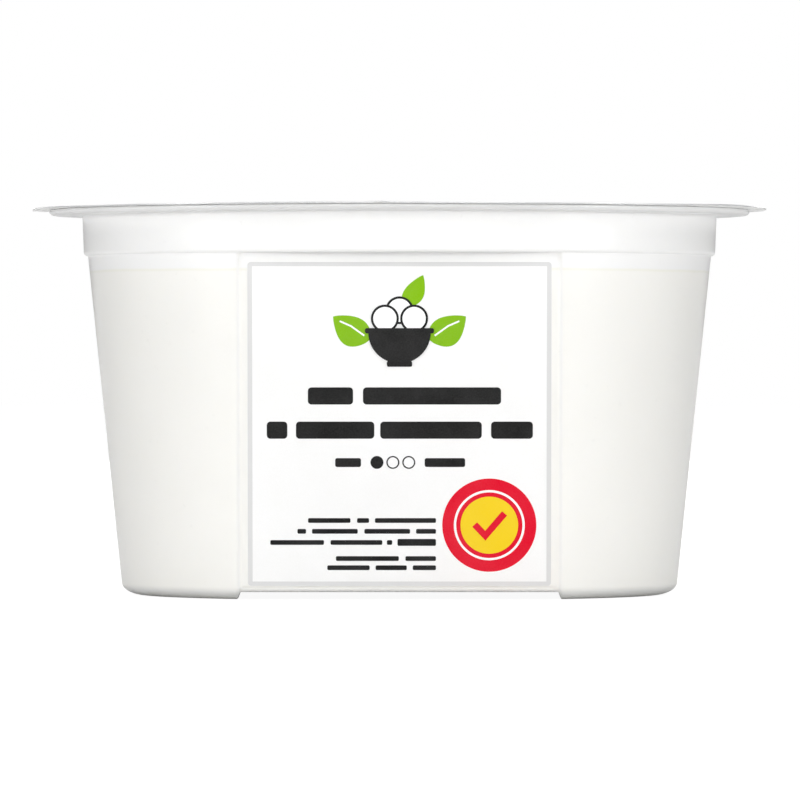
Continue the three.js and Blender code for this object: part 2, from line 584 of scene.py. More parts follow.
@dataclass(frozen=True)
class MilkyPlastic(Finish):
    """Milky moulded plastic, warmer where there is brine behind it, with shade painted on the rim, low on the
    foot and in the creases beside the flat sides.
    """

    above: Rgb = (251, 251, 250)
    below: Rgb = (252, 251, 246)
    level_line: Rgb = (243, 242, 228)
    cloudy: Rgb = (249, 248, 243)
    # painted shade: the grey of the rim and its lip
    flange: Rgb = (234, 234, 234)
    # painted shade in the creases beside the flat sides
    shade_in_creases: Rgb = (242, 242, 240)
    # painted shade low on the foot
    foot: Rgb = (237, 237, 235)
    scuffed: Rgb = (226, 225, 221)
    cloud_range: tuple[float, float] = (0.35, 0.75)
    cloud_strength: float = 0.5
    line_strength: float = 0.55
    crease_strength: float = 0.9
    speck_strength: float = 0.12
    rub_dulls: float = 0.07

    def dress(self, wiring: Wiring, surface: bpy.types.Node) -> None:
        """Wires the plastic.

        Args:
            wiring: The material's wiring.
            surface: Its shader.
        """
        skin, level, handled = (effect.place(wiring) for effect in (MouldedSkin(), FillLevel(), Handling()))
        cloud = wiring.spread(skin["Cloud"], *self.cloud_range, 0.0, self.cloud_strength)
        filled = wiring.tint(cloud, linear(*self.below), linear(*self.cloudy))
        colour = wiring.tint(level["Below"], linear(*self.above), filled)
        for share, tone in (
            (wiring.times(level["At Level"], self.line_strength), self.level_line),
            # painted shade on the rim, outside a radius
            (FlangeShade().place(wiring)["Thin"], self.flange),
            # painted shade in the creases beside the flat sides
            (wiring.times(CreaseShade().place(wiring)["Crease Shade"], self.crease_strength), self.shade_in_creases),
            # painted shade low on the foot
            (FootShade().place(wiring)["Foot Shade"], self.foot),
            (wiring.times(handled["Specked"], self.speck_strength), self.scuffed),
        ):
            colour = wiring.tint(share, colour, linear(*tone))
        roughness = wiring.plus(skin["Roughness"], wiring.times(handled["Rubbed"], self.rub_dulls))
        wiring.feed(surface, Base_Color=colour, Roughness=roughness, IOR=1.49, Subsurface_Weight=0.15,
                    Subsurface_Radius=(1.0, 0.95, 0.85), Subsurface_Scale=0.00018, Coat_Weight=0.5,
                    Coat_Roughness=0.22)
        self.relief(wiring, surface, skin["Height"])


@dataclass(frozen=True)
class PeelFilm(Finish):
    """The milky peel film of the lid, with painted shade on its cut edge."""

    colour: Rgb = (253, 253, 252)
    pressed: Rgb = (240, 241, 241)
    # painted shade on the film's cut edge, strongest at the front and back
    painted_edge_shade: Rgb = (212, 213, 214)
    press_strength: float = 0.7
    speck_strength: float = 0.3
    speck_scale: float = 700.0

    def dress(self, wiring: Wiring, surface: bpy.types.Node) -> None:
        """Wires the film.

        Args:
            wiring: The material's wiring.
            surface: Its shader.
        """
        film = TautFilm().place(wiring)
        handled = Handling().place(wiring, Specks=self.speck_scale)
        colour = linear(*self.colour)
        for share, tone in (
            (wiring.times(film["Sealed"], self.press_strength), self.pressed),
            (wiring.times(handled["Specked"], self.speck_strength), self.pressed),
            # painted shade on the cut edge
            (film["Edge"], self.painted_edge_shade),
        ):
            colour = wiring.tint(share, colour, linear(*tone))
        wiring.feed(surface, Base_Color=colour, Roughness=film["Roughness"], IOR=1.5, Subsurface_Weight=0.15,
                    Subsurface_Radius=(1.0, 1.0, 0.95), Subsurface_Scale=0.0005, Coat_Weight=0.2,
                    Coat_Roughness=0.12)
        self.relief(wiring, surface, film["Height"])


@dataclass(frozen=True)
class LabelFilm(Finish):
    """The satin white film of the labels."""

    colour: Rgb = (252, 252, 252)
    shaded: Rgb = (248, 248, 247)

    def dress(self, wiring: Wiring, surface: bpy.types.Node) -> None:
        """Wires the label film.

        Args:
            wiring: The material's wiring.
            surface: Its shader.
        """
        lay = InkLay().place(wiring, Drift=120.0, Grain=4200.0)
        colour = wiring.tint(lay["Thin"], linear(*self.colour), linear(*self.shaded))
        wiring.feed(surface, Base_Color=colour, Roughness=lay["Roughness"], IOR=1.47, Coat_Weight=0.1,
                    Coat_Roughness=0.3)
        self.relief(wiring, surface, lay["Height"])


@dataclass(frozen=True)
class PrintInk(Finish):
    """One printed colour."""

    ink: Ink
    paleness: float = 0.03
    thin_strength: float = 0.6

    def dress(self, wiring: Wiring, surface: bpy.types.Node) -> None:
        """Wires the ink, a little paler where it lies thin.

        Args:
            wiring: The material's wiring.
            surface: Its shader.
        """
        lay = InkLay().place(wiring)
        full = linear(*self.ink.value)
        thin = tuple(blend(channel, 1.0, self.paleness) for channel in full)
        colour = wiring.tint(wiring.times(lay["Thin"], self.thin_strength), full, thin)
        wiring.feed(surface, Base_Color=colour, Roughness=lay["Roughness"], IOR=1.45,
                    Specular_IOR_Level=0.12)
        self.relief(wiring, surface, lay["Height"])


def spin(mesh: bmesh.types.BMesh, section: Verts, columns: int) -> None:
    """Joins the points of a section and spins it about the upright axis.

    Args:
        mesh: The mesh that holds the points.
        section: The points, in order.
        columns: How many steps make the round.
    """
    edges = [mesh.edges.new(pair) for pair in zip(section, section[1:])]
    bmesh.ops.spin(mesh, geom=section + edges, cent=(0, 0, 0), axis=(0, 0, 1), dvec=(0, 0, 0), angle=math.tau,
                   steps=columns, use_merge=True, use_normal_flip=False, use_duplicate=False)


def make_piece(name: str, mesh: bmesh.types.BMesh, finish: Finish,
               replaced: str | None = None) -> None:
    """Turns a mesh in millimetres into a finished piece in metres that rides with the tub.

    Args:
        name: The piece's name.
        mesh: Its mesh, which is used up.
        finish: Its finish.
        replaced: The solid that it stands for, if it stands for one.
    """
    bmesh.ops.scale(mesh, vec=(MM, MM, MM), verts=mesh.verts)
    bmesh.ops.recalc_face_normals(mesh, faces=mesh.faces)
    data = bpy.data.meshes.new(name)
    mesh.to_mesh(data)
    mesh.free()
    data.shade_smooth()
    data.set_sharp_from_angle(angle=SMOOTH_ANGLE)
    data.materials.append(finish.material())
    piece = bpy.data.objects.new(name, data)
    bpy.context.scene.collection.objects.link(piece)
    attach(piece, ROOT)
    if replaced:
        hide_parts(replaced)
    log.info("%s: %d faces", name, len(data.polygons))


@dataclass(frozen=True)
class Ring:
    """One ring of the tub's skin.

    The round part has a radius and a height. On a flattened ring, the flat sides have their own distance
    from the axis and their own height.
    """

    radius: float
    height: float
    outline: Outline = Outline.FLATTENED
    flat_depth: float = 0.0
    flat_height: float = 0.0
    flat_end: float = 23.7
    round_start: float = 24.7


@dataclass
class TubShell:
    """The milky tub: base, foot, tapered wall with two flat sides, collar and rim."""

    base_height: float = 1.14
    recess_height: float = 1.39
    recess_radius: float = 24.0
    gate_height: float = 1.09
    gate_radius: float = 1.5
    foot_inner: float = 36.0
    foot_outer: float = 39.5
    foot_slope: float = 0.5
    gap_top: float = 24.0
    gap_bottom: float = 24.6
    heel_radius: float = 43.0
    heel_height: float = 1.9
    heel_steps: int = 12
    wall_radius: float = 48.2
    wall_height: float = 51.9
    wall_steps: int = 12
    panel_half: float = 24.5
    panel_recess: float = 0.38
    panel_top: float = 52.3
    panel_fillet: float = 0.85
    collar_radius: float = 48.9
    collar_height: float = 52.6
    collar_top: float = 49.1
    rim_radius: float = 54.2
    rim_underside: float = 58.66
    rim_top: float = 59.49
    rim_rounding: float = 0.2
    seal_inner: float = 49.2
    dip: float = 1.2
    ledge: float = 52.4
    columns: int = 192
    flat_columns: int = 12
    step_columns: int = 8

    def wall_at(self, height: float) -> float:
        """Gives the radius of the tapered wall at a height."""
        share = (height - self.heel_height) / (self.wall_height - self.heel_height)
        return blend(self.heel_radius, self.wall_radius, share)

    def recess_at(self, height: float) -> float:
        """Gives the depth of the flat side at a height, worked out at its upright edges."""
        return math.sqrt(self.wall_at(height) ** 2 - self.panel_half ** 2) - self.panel_recess

    @property
    def lean(self) -> float:
        """How far the flat sides lean outwards for each millimetre of height."""
        rise = self.panel_top - self.base_height
        return (self.recess_at(self.panel_top) - self.recess_at(self.base_height)) / rise

    @property
    def tilt(self) -> float:
        """The angle of that lean."""
        return math.atan(self.lean)

    def panel_at(self, height: float) -> float:
        """Gives the distance of the flat sides' plane from the axis at a height."""
        return self.recess_at(self.base_height) + self.lean * (height - self.base_height)

    def base_rings(self) -> list[Ring]:
        """Lists the round rings of the base plate.

        Returns:
            The rings from the moulding point outwards.
        """
        low, high, plate = self.gate_height, self.recess_height, self.base_height
        points = [
            (0.0, low),
            (self.gate_radius - 0.25, low),
            (self.gate_radius, low + 0.08),
            (self.gate_radius + 0.03, high - 0.06),
            (self.gate_radius + 0.2, high),
            (8.0, high),
            (16.0, high),
            (self.recess_radius - 0.2, high),
            (self.recess_radius, high - 0.03),
            (self.recess_radius + 0.2, plate + 0.03),
            (self.recess_radius + 0.4, plate),
        ]
        return [Ring(radius, height, Outline.BASE) for radius, height in points]

    def foot_rings(self) -> list[Ring]:
        """Lists the rings of the foot, which is interrupted below the flat sides.

        Returns:
            The rings from the foot's inner wall to its outer edge.
        """
        inner = self.foot_inner
        points = [
            (inner - self.foot_slope - 0.2, self.base_height),
            (inner - self.foot_slope, self.base_height - 0.04),
            (inner - self.foot_slope + 0.08, self.base_height - 0.18),
            (inner - 0.12, 0.14),
            (inner, 0.03),
            (inner + 0.15, 0.0),
            (self.foot_outer, 0.0),
        ]
        return [
            Ring(radius, height, Outline.FLATTENED, math.sqrt(radius ** 2 - self.gap_bottom ** 2),
                 self.base_height, self.gap_top, self.gap_bottom)
            for radius, height in points
        ]

    def heel_rings(self) -> list[Ring]:
        """Lists the rings of the rounded heel, with the small rounding at the foot of the flat sides.

        Returns:
            The rings from the foot up to where the straight wall starts.
        """
        start = math.sqrt(self.foot_outer ** 2 - self.gap_bottom ** 2)
        turn_height = self.base_height + self.panel_fillet
        turn_depth = self.panel_at(turn_height) - self.panel_fillet
        level_steps = self.heel_steps // 3
        turn_steps = self.heel_steps // 2
        rings = []
        for step in range(1, self.heel_steps + 1):
            angle = math.pi / 2 * step / self.heel_steps
            radius = self.foot_outer + (self.heel_radius - self.foot_outer) * math.sin(angle)
            height = self.heel_height * (1 - math.cos(angle))
            if step <= level_steps:
                depth, level = blend(start, turn_depth, step / level_steps), self.base_height
            elif step <= level_steps + turn_steps:
                turn = math.pi / 2 * (step - level_steps) / turn_steps
                depth = turn_depth + self.panel_fillet * math.sin(turn)
                level = turn_height - self.panel_fillet * math.cos(turn)
            else:
                left = self.heel_steps - level_steps - turn_steps
                share = (step - level_steps - turn_steps) / left
                level = blend(turn_height, self.heel_height, share)
                depth = self.panel_at(level)
            share = ease(step / self.heel_steps)
            rings.append(Ring(
                radius, height, Outline.FLATTENED, depth, level,
                blend(self.gap_top, Ring.flat_end, share), blend(self.gap_bottom, Ring.round_start, share),
            ))
        return rings

    def wall_rings(self) -> list[Ring]:
        """Lists the rings of the tapered wall, up to the ledge below the collar.

        Returns:
            The rings from the heel upwards.
        """
        rises = [step / self.wall_steps for step in range(1, self.wall_steps + 1)]
        heights = [blend(self.heel_height, self.wall_height, rise) for rise in rises]
        points = [(self.wall_at(height), height, height) for height in heights]
        points += [
            (self.wall_radius + 0.03, self.ledge - 0.18, self.ledge - 0.12),
            (self.wall_radius + 0.1, self.ledge - 0.04, self.ledge),
        ]
        return [
            Ring(radius, height, Outline.FLATTENED, self.panel_at(level), level)
            for radius, height, level in points
        ]

    def collar_rings(self) -> list[Ring]:
        """Lists the round rings of the collar, the rim and the top under the film.

        Returns:
            The rings from the ledge up, over the rim and in to the axis.
        """
        collar, rim, ledge = self.collar_radius, self.rim_radius, self.ledge
        under, top, turn = self.rim_underside, self.rim_top, self.rim_rounding
        points = [
            (collar - 0.48, ledge),
            (collar - 0.27, ledge + 0.06),
            (collar - 0.1, ledge + 0.2),
            (collar - 0.02, ledge + 0.38),
            (collar + 0.01, ledge + 0.6),
            (blend(collar, self.collar_top, 0.5), blend(self.collar_height, under, 0.5)),
            (self.collar_top, under - 0.3),
            (self.collar_top + 0.09, under - 0.09),
            (self.collar_top + 0.3, under),
            (blend(self.collar_top, rim, 0.5), under),
            (rim - 2.4 * turn, under),
            (rim - 1.2 * turn, under + 0.5 * turn),
            (rim - 0.3 * turn, under + 1.5 * turn),
            (rim, under + 2 * turn),
            (rim, top - turn),
            (rim - turn * 0.29, top - turn * 0.29),
            (rim - turn, top),
            (self.seal_inner, top),
        ]
        for share in (0.8, 0.6, 0.4, 0.2, 0.0):
            points.append((self.seal_inner * share, top - self.dip * (1 - share ** 2)))
        return [Ring(radius, height, Outline.COLLAR) for radius, height in points]

    def flattened_point(self, ring: Ring, column: int) -> Vector:
        """Finds a point of a flattened ring in its first quarter.

        Args:
            ring: The ring.
            column: Its place, from 0 in the middle of the flat side to the end of the quarter.

        Returns:
            The point: across, out from the axis, and up.
        """
        if column <= self.flat_columns:
            across = ring.flat_end * column / self.flat_columns
            return Vector((across, ring.flat_depth, ring.flat_height))
        first = self.flat_columns + self.step_columns
        if column <= first:
            share = (column - self.flat_columns) / self.step_columns
            across = blend(ring.flat_end, ring.round_start, share)
            depth = blend(ring.flat_depth, math.sqrt(ring.radius ** 2 - across ** 2), ease(share))
            return Vector((across, depth, blend(ring.flat_height, ring.height, ease(share))))
        start = math.asin(ring.round_start / ring.radius)
        share = (column - first) / (self.columns / 4 - first)
        return around(ring.radius, blend(start, math.pi / 2, share), ring.height)

    def ring_point(self, ring: Ring, guide: Ring, column: int) -> Vector:
        """Finds a point of any ring in its first quarter.

        Args:
            ring: The ring.
            guide: The nearest flattened ring, which gives a round one the bearings of its points.
            column: The point's place on the ring.

        Returns:
            The point: across, out from the axis, and up.
        """
        if ring.outline is Outline.FLATTENED:
            return self.flattened_point(ring, column)
        beside = self.flattened_point(guide, column)
        return around(ring.radius, math.atan2(beside.x, beside.y), ring.height)

    def build(self, finish: Finish) -> None:
        """Spins the profile into a round blank and presses the flat sides into it.

        Args:
            finish: The tub's finish.
        """
        base, foot, wall = self.base_rings(), self.foot_rings() + self.heel_rings(), self.wall_rings()
        rings = base + foot + wall + self.collar_rings()
        mesh = bmesh.new()
        number = mesh.verts.layers.int.new("ring")
        profile = [mesh.verts.new((ring.radius, 0, ring.height)) for ring in rings]
        for place, vert in enumerate(profile):
            vert[number] = place
        spin(mesh, profile, self.columns)
        for vert in mesh.verts:
            turn = math.atan2(abs(vert.co.x), abs(vert.co.y))
            ring = rings[vert[number]]
            guide = foot[0] if ring.outline is Outline.BASE else wall[-1]
            point = self.ring_point(ring, guide, round(turn * self.columns / math.tau))
            vert.co = (math.copysign(point.x, vert.co.x), math.copysign(point.y, vert.co.y), point.z)
        bmesh.ops.remove_doubles(mesh, verts=mesh.verts, dist=MERGE_DISTANCE)
        make_piece("tub_shell", mesh, finish, "tub")


@dataclass(frozen=True)
class EdgeFold:
    """A small fold in the free edge of the film: its bearing and half width in degrees, and its rise."""

    bearing: float
    width: float
    rise: float


@dataclass
class FilmLid:
    """The peel film: sealed on the rim, drawn down inside it, with a free edge outside."""

    rim_top: float = 59.5
    top: float = 59.7
    radius: float = 56.8
    edge_rounding: float = 0.02
    leaves_rim: float = 53.9
    droop: float = 0.01
    seal_inner: float = 49.2
    dip: float = 0.8
    seal_start: float = 49.8
    seal_end: float = 53.4
    seal_press: float = 0.06
    seal_slope: float = 0.15
    wave_height: float = 0.02
    wave_scale: float = 0.08
    inner_radii: tuple[float, ...] = (0, 8, 16, 24, 32, 40, 45, 48, 49.2)
    edge_radii: tuple[float, ...] = (54.6, 55.3, 55.9, 56.4)
    under_radii: tuple[float, ...] = (40, 30, 20, 10, 0)
    columns: int = 288
    folds: tuple[EdgeFold, ...] = (
        EdgeFold(-2.8, 1.5, 0.13),
        EdgeFold(5.6, 0.8, -0.05),
        EdgeFold(-13.0, 12.0, 0.04),
        EdgeFold(14.0, 8.0, -0.07),
        EdgeFold(-54.0, 8.0, -0.06),
        EdgeFold(62.0, 13.0, 0.2),
        EdgeFold(-88.0, 6.0, -0.16),
        EdgeFold(121.0, 5.0, 0.15),
        EdgeFold(-137.0, 3.5, -0.12),
        EdgeFold(171.0, 2.4, 0.13),
    )

    def lie(self, radius: float) -> float:
        """Gives the height of the film's underside at a radius.

        Args:
            radius: Distance from the axis.

        Returns:
            The height above the table.
        """
        if radius <= self.seal_inner:
            return self.rim_top - self.dip * (1 - (radius / self.seal_inner) ** 2)
        if radius <= self.leaves_rim:
            return self.rim_top
        share = (radius - self.leaves_rim) / (self.radius - self.leaves_rim)
        return self.rim_top - self.droop * share ** 2

    def profile(self) -> list[tuple[float, float]]:
        """Lists the film's section, over the top and back underneath.

        Returns:
            Radius and height of each point, from the axis out and back to the axis.
        """
        pressed, slope = self.top - self.seal_press, self.seal_slope
        thick = self.top - self.rim_top
        over = [(radius, self.lie(radius) + thick) for radius in self.inner_radii]
        over += [
            (self.seal_start, self.top),
            (self.seal_start + slope, pressed),
            (self.seal_end - slope, pressed),
            (self.seal_end, self.top),
            (self.leaves_rim, self.top),
        ]
        over += [(radius, self.lie(radius) + thick) for radius in self.edge_radii]
        low, turn = self.lie(self.radius), self.edge_rounding
        brim = [
            (self.radius - turn, low + thick),
            (self.radius, low + thick - turn),
            (self.radius, low + turn),
            (self.radius - turn, low),
        ]
        below = self.edge_radii[::-1] + (self.leaves_rim, self.seal_inner) + self.under_radii
        return over + brim + [(radius, self.lie(radius)) for radius in below]

    def flutter(self, point: Vector) -> float:
        """Finds how far the free edge is lifted at a point.

        Args:
            point: A point of the film.

        Returns:
            The lift, nothing inside the rim.
        """
        out = math.hypot(point.x, point.y)
        share = ease((out - self.leaves_rim) / (self.radius - self.leaves_rim))
        if not share:
            return 0.0
        bearing = math.degrees(math.atan2(point.x, -point.y))
        lift = self.wave_height * noise.noise(Vector((point.x, point.y, 0)) * self.wave_scale)
        for fold in self.folds:
            away = (bearing - fold.bearing + 180) % 360 - 180
            lift += fold.rise * math.exp(-(away / fold.width) ** 2)
        return lift * share

    def build(self, finish: Finish) -> None:
        """Spins the film's section and lifts its free edge into small waves.

        Args:
            finish: The film's finish.
        """
        mesh = bmesh.new()
        spin(mesh, [mesh.verts.new((radius, 0, height)) for radius, height in self.profile()], self.columns)
        bmesh.ops.remove_doubles(mesh, verts=mesh.verts, dist=MERGE_DISTANCE)
        for vert in mesh.verts:
            vert.co.z += self.flutter(vert.co)
        make_piece("film_lid", mesh, finish, "lid_film")


class PrintLayer:
    """Flat shapes of one colour, gathered in the label's plane. u runs right and v up from its centre."""

    corner_steps = 5
    leaf_steps = (20, 4)
    leaf_belly = 0.8
    leaf_fullness = 0.85
    sharpest_corner = 0.3

    def __init__(self, thickness: float = 0.02) -> None:
        """Starts empty.

        Args:
            thickness: How thick the shapes become.
        """
        self.thickness = thickness
        self.mesh = bmesh.new()

    def panel(self, placing: Matrix, rounding: float) -> None:
        """Lays a rounded rectangle.

        Args:
            placing: What turns a square of side 2 into it.
            rounding: Radius of its corners.
        """
        made = bmesh.ops.create_grid(self.mesh, x_segments=1, y_segments=1, size=1, matrix=placing)
        bmesh.ops.bevel(self.mesh, geom=made["verts"], offset=rounding, offset_type="OFFSET", affect="VERTICES",
                        segments=self.corner_steps, profile=0.5, material=-1)

    def row(self, ends: tuple[float, ...], bottom: float, tall: float, rounding: float = 0.2) -> None:
        """Lays rounded bars in a row.

        Args:
            ends: The left and the right edge of each bar in turn.
            bottom: Their lower edge.
            tall: Their height.
            rounding: Radius of their corners.
        """
        for left, right in zip(ends[::2], ends[1::2]):
            centre = Matrix.Translation(((left + right) / 2, bottom + tall / 2, 0))
            self.panel(centre @ Matrix.Diagonal(((right - left) / 2, tall / 2, 1, 1)), rounding)

    def disc(self, u: float, v: float, radius: float, segments: int = 48, capped: bool = True) -> Verts:
        """Lays a disc, or its edge only.

        Args:
            u: Its centre across.
            v: Its centre upwards.
            radius: Its radius.
            segments: How many straight edges stand for its round one.
            capped: Whether the disc is full.

        Returns:
            The points of its edge.
        """
        made = bmesh.ops.create_circle(self.mesh, cap_ends=capped, radius=radius, segments=segments,
                                       matrix=Matrix.Translation((u, v, 0)))
        return made["verts"]

    def ring(self, u: float, v: float, outer: float, inner: float, segments: int = 48) -> None:
        """Lays a ring.

        Args:
            u: Its centre across.
            v: Its centre upwards.
            outer: Its outer radius.
            inner: Its inner radius.
            segments: How many straight edges stand for each round one.
        """
        verts = self.disc(u, v, outer, segments, False) + self.disc(u, v, inner, segments, False)
        edges = {edge for vert in verts for edge in vert.link_edges}
        bmesh.ops.bridge_loops(self.mesh, edges=list(edges))

    def frame(self, half_width: float, half_height: float, sides: float, ends: float, rounding: float,
              inner_rounding: float = 0.05) -> None:
        """Lays a border.

        Args:
            half_width: Half its outer width.
            half_height: Half its outer height.
            sides: How wide its upright lines are.
            ends: How wide its level lines are.
            rounding: Radius of its outer corners.
            inner_rounding: Radius of its inner corners.
        """
        self.panel(Matrix.Diagonal((half_width, half_height, 1, 1)), rounding)
        self.panel(Matrix.Diagonal((half_width - sides, half_height - ends, 1, 1)), inner_rounding)
        bmesh.ops.delete(self.mesh, geom=list(self.mesh.faces), context="FACES_ONLY")
        bmesh.ops.bridge_loops(self.mesh, edges=list(self.mesh.edges))

    def leaf(self, root: tuple[float, float], bearing: float, length: float, width: float,
             bend: float) -> None:
        """Lays a pointed leaf.

        Args:
            root: Where it starts.
            bearing: Its direction, in degrees from the right.
            length: Its length.
            width: Its greatest width.
            bend: How far its middle is bowed to the left of its direction.
        """
        length_steps, width_steps = self.leaf_steps
        made = bmesh.ops.create_grid(self.mesh, x_segments=length_steps, y_segments=width_steps, size=1)
        turn = Matrix.Rotation(math.radians(bearing), 4, "Z")
        for vert in made["verts"]:
            along = (vert.co.x + 1) / 2
            half = 0.0
            if 0 < along < 1:
                half = width / 2 * math.sin(math.pi * along ** self.leaf_belly) ** self.leaf_fullness
            bowed = bend * math.sin(math.pi * along)
            vert.co = turn @ Vector((along * length, vert.co.y * half + bowed, 0)) + Vector(root).to_3d()
        bmesh.ops.remove_doubles(self.mesh, verts=made["verts"], dist=MERGE_DISTANCE)

    def stroke(self, points: list[tuple[float, float]], width: float) -> None:
        """Lays a line of even width through some points.

        Args:
            points: The points, in order.
            width: The line's width.
        """
        line = [Vector(point) for point in points]
        strip: Verts = []
        for place, point in enumerate(line):
            before = line[max(place - 1, 0)]
            after = line[min(place + 1, len(line) - 1)]
            into = (point - before).normalized() if place else (after - point).normalized()
            out = (after - point).normalized() if after != point else into
            square = Vector((-(into + out).y, (into + out).x)).normalized()
            reach = width / 2 / max(square.dot(Vector((-into.y, into.x))), self.sharpest_corner)
            ends = [(point + square * reach * side).to_3d() for side in (1, -1)]
            if not strip:
                strip = [self.mesh.verts.new(end) for end in ends]
                self.mesh.edges.new(strip)
                continue
            edge = self.mesh.edges.get(strip)
            made = bmesh.ops.extrude_edge_only(self.mesh, edges=[edge])
            fresh = [item for item in made["geom"] if isinstance(item, bmesh.types.BMVert)]
            strip = sorted(fresh, key=lambda vert: (vert.co - strip[0].co).length)
            for vert, end in zip(strip, ends):
                vert.co = end

    def cut_above(self, verts: Verts, height: float) -> None:
        """Cuts off the part of a shape that lies above a level line.

        Args:
            verts: The shape's points.
            height: Where the line lies.
        """
        faces = {face for vert in verts for face in vert.link_faces}
        edges = {edge for face in faces for edge in face.edges}
        bmesh.ops.bisect_plane(self.mesh, geom=[*verts, *edges, *faces], plane_co=(0, height, 0),
                               plane_no=(0, 1, 0), clear_outer=True, clear_inner=False)

    def thicken(self, placing: Matrix, lift: float) -> bmesh.types.BMesh:
        """Gives the shapes their thickness and puts them on the flat side.

        Args:
            placing: The label's place.
            lift: How far above the flat side they lie.

        Returns:
            The mesh of the shapes.
        """
        bmesh.ops.recalc_face_normals(self.mesh, faces=self.mesh.faces)
        for face in self.mesh.faces:
            if face.normal.z < 0:
                face.normal_flip()
        made = bmesh.ops.extrude_face_region(self.mesh, geom=list(self.mesh.faces), use_keep_orig=True)
        raised = [item for item in made["geom"] if isinstance(item, bmesh.types.BMVert)]
        bmesh.ops.translate(self.mesh, verts=raised, vec=(0, 0, self.thickness))
        bmesh.ops.translate(self.mesh, verts=self.mesh.verts, vec=(0, 0, lift))
        bmesh.ops.transform(self.mesh, matrix=placing, verts=self.mesh.verts)
        return self.mesh


@dataclass
class Label:
    """A white label with a light grey border on a flat side, and its print."""

    tub: TubShell
    side: Side
    node: str
    width: float = 45.8
    bottom: float = 2.1
    top: float = 50.96
    print_centre: float = 26.375
    thickness: float = 0.06
    gap: float = 0.01
    corner: float = 0.5
    border_sides: float = 0.69
    border_ends: float = 0.64
    border_inset: float = 0.03
    ink_gap: float = 0.002
    ink_step: float = 0.022
    small_height: float = 0.72

    @property
    def half_height(self) -> float:
        """Half the label's length along the slope of the flat side."""
        return (self.top - self.bottom) / 2 / math.cos(self.tub.tilt)

    @property
    def middle(self) -> float:
        """How far the label's middle lies above the centre of its print."""
        return ((self.top + self.bottom) / 2 - self.print_centre) / math.cos(self.tub.tilt)

    def placing(self) -> Matrix:
        """Works out the label's place on the flat side.

        Returns:
            The matrix from the label's plane (right, up, out) to the tub.
        """
        tilt = self.tub.tilt
        across = Vector((1, 0, 0))
        upwards = Vector((0, -math.sin(tilt), math.cos(tilt)))
        outwards = Vector((0, -math.cos(tilt), -math.sin(tilt)))
        place = Matrix((across, upwards, outwards)).transposed().to_4x4()
        place.translation = (0, -self.tub.panel_at(self.print_centre), self.print_centre)
        return Matrix.Rotation(self.side.value, 4, "Z") @ place

    def plate(self, finish: Finish) -> None:
        """Makes the white plate of the label.

        Args:
            finish: The label's finish.
        """
        layer = PrintLayer(self.thickness)
        half, tall = self.width / 2, self.half_height * 2
        layer.row((-half, half), self.middle - self.half_height, tall, self.corner)
        mesh = layer.thicken(self.placing(), self.gap)
        make_piece(f"label_{self.side.name.lower()}", mesh, finish, self.node)

    def lay(self, layer: PrintLayer, what: str, ink: Ink, level: int = 0) -> None:
        """Lays one layer of print on the label.

        Args:
            layer: The layer.
            what: What it shows.
            ink: Its colour.
            level: Its place in the order of printing, from 0.
        """
        lift = self.gap + self.thickness + self.ink_gap + self.ink_step * level
        finish = PrintInk(f"ink_{ink.name.lower()}", bump=0.06, bump_depth=0.00002, ink=ink)
        name = f"print_{what}_{self.side.name.lower()}"
        make_piece(name, layer.thicken(self.placing(), lift), finish)

    def print_border(self) -> None:
        """Prints the light grey border."""
        layer = PrintLayer()
        half_width, half_height = self.width / 2 - self.border_inset, self.half_height - self.border_inset
        layer.frame(half_width, half_height, self.border_sides, self.border_ends, self.corner)
        bmesh.ops.translate(layer.mesh, verts=layer.mesh.verts, vec=(0, self.middle, 0))
        self.lay(layer, "border", Ink.KEYLINE)

    def print_all(self) -> None:
        """Prints what the label shows inside its border."""
        raise NotImplementedError

    def build(self, finish: Finish) -> None:
        """Makes the label and its print.

        Args:
            finish: The label film's finish.
        """
        self.plate(finish)
        self.print_border()
        self.print_all()


